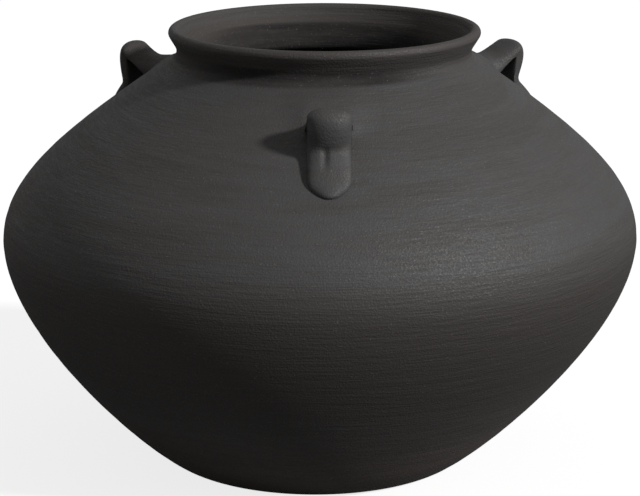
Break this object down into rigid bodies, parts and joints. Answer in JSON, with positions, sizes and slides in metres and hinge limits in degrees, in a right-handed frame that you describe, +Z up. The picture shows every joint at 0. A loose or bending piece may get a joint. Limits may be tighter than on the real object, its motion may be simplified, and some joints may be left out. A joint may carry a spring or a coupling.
{
  "type": "vase",
  "caption": "Squat matt black earthenware vase with a round belly, short collared neck with a rolled lip, and arched strap lugs on the shoulder",
  "frame": {"origin": "centre of the foot, on the surface that the vase stands on", "axes": "+Z up along the turning axis; -Y is the front, where the lug that faces the viewer sits; +X to the viewer's right"},
  "size_m": [0.3, 0.3, 0.2066],
  "materials": {
    "base_clay": "matt, unglazed, smoke black with a faint brown tint",
    "lower_clay": "matt, unglazed, smoke black with fine throwing lines",
    "upper_clay": "matt, unglazed charcoal with fine throwing lines and a sandy grog",
    "collar_clay": "matt, unglazed charcoal, lip worn slightly lighter",
    "lug_clay": "matt, unglazed charcoal, finger-pulled straps"
  },
  "bodies": {
    "root": {"base_disc": "base_clay", "lower_wall": "lower_clay", "upper_wall": "upper_clay", "neck_collar": "collar_clay", "handle_front": "lug_clay", "handle_left": "lug_clay", "handle_right": "lug_clay"}
  },
  "joints": []
}
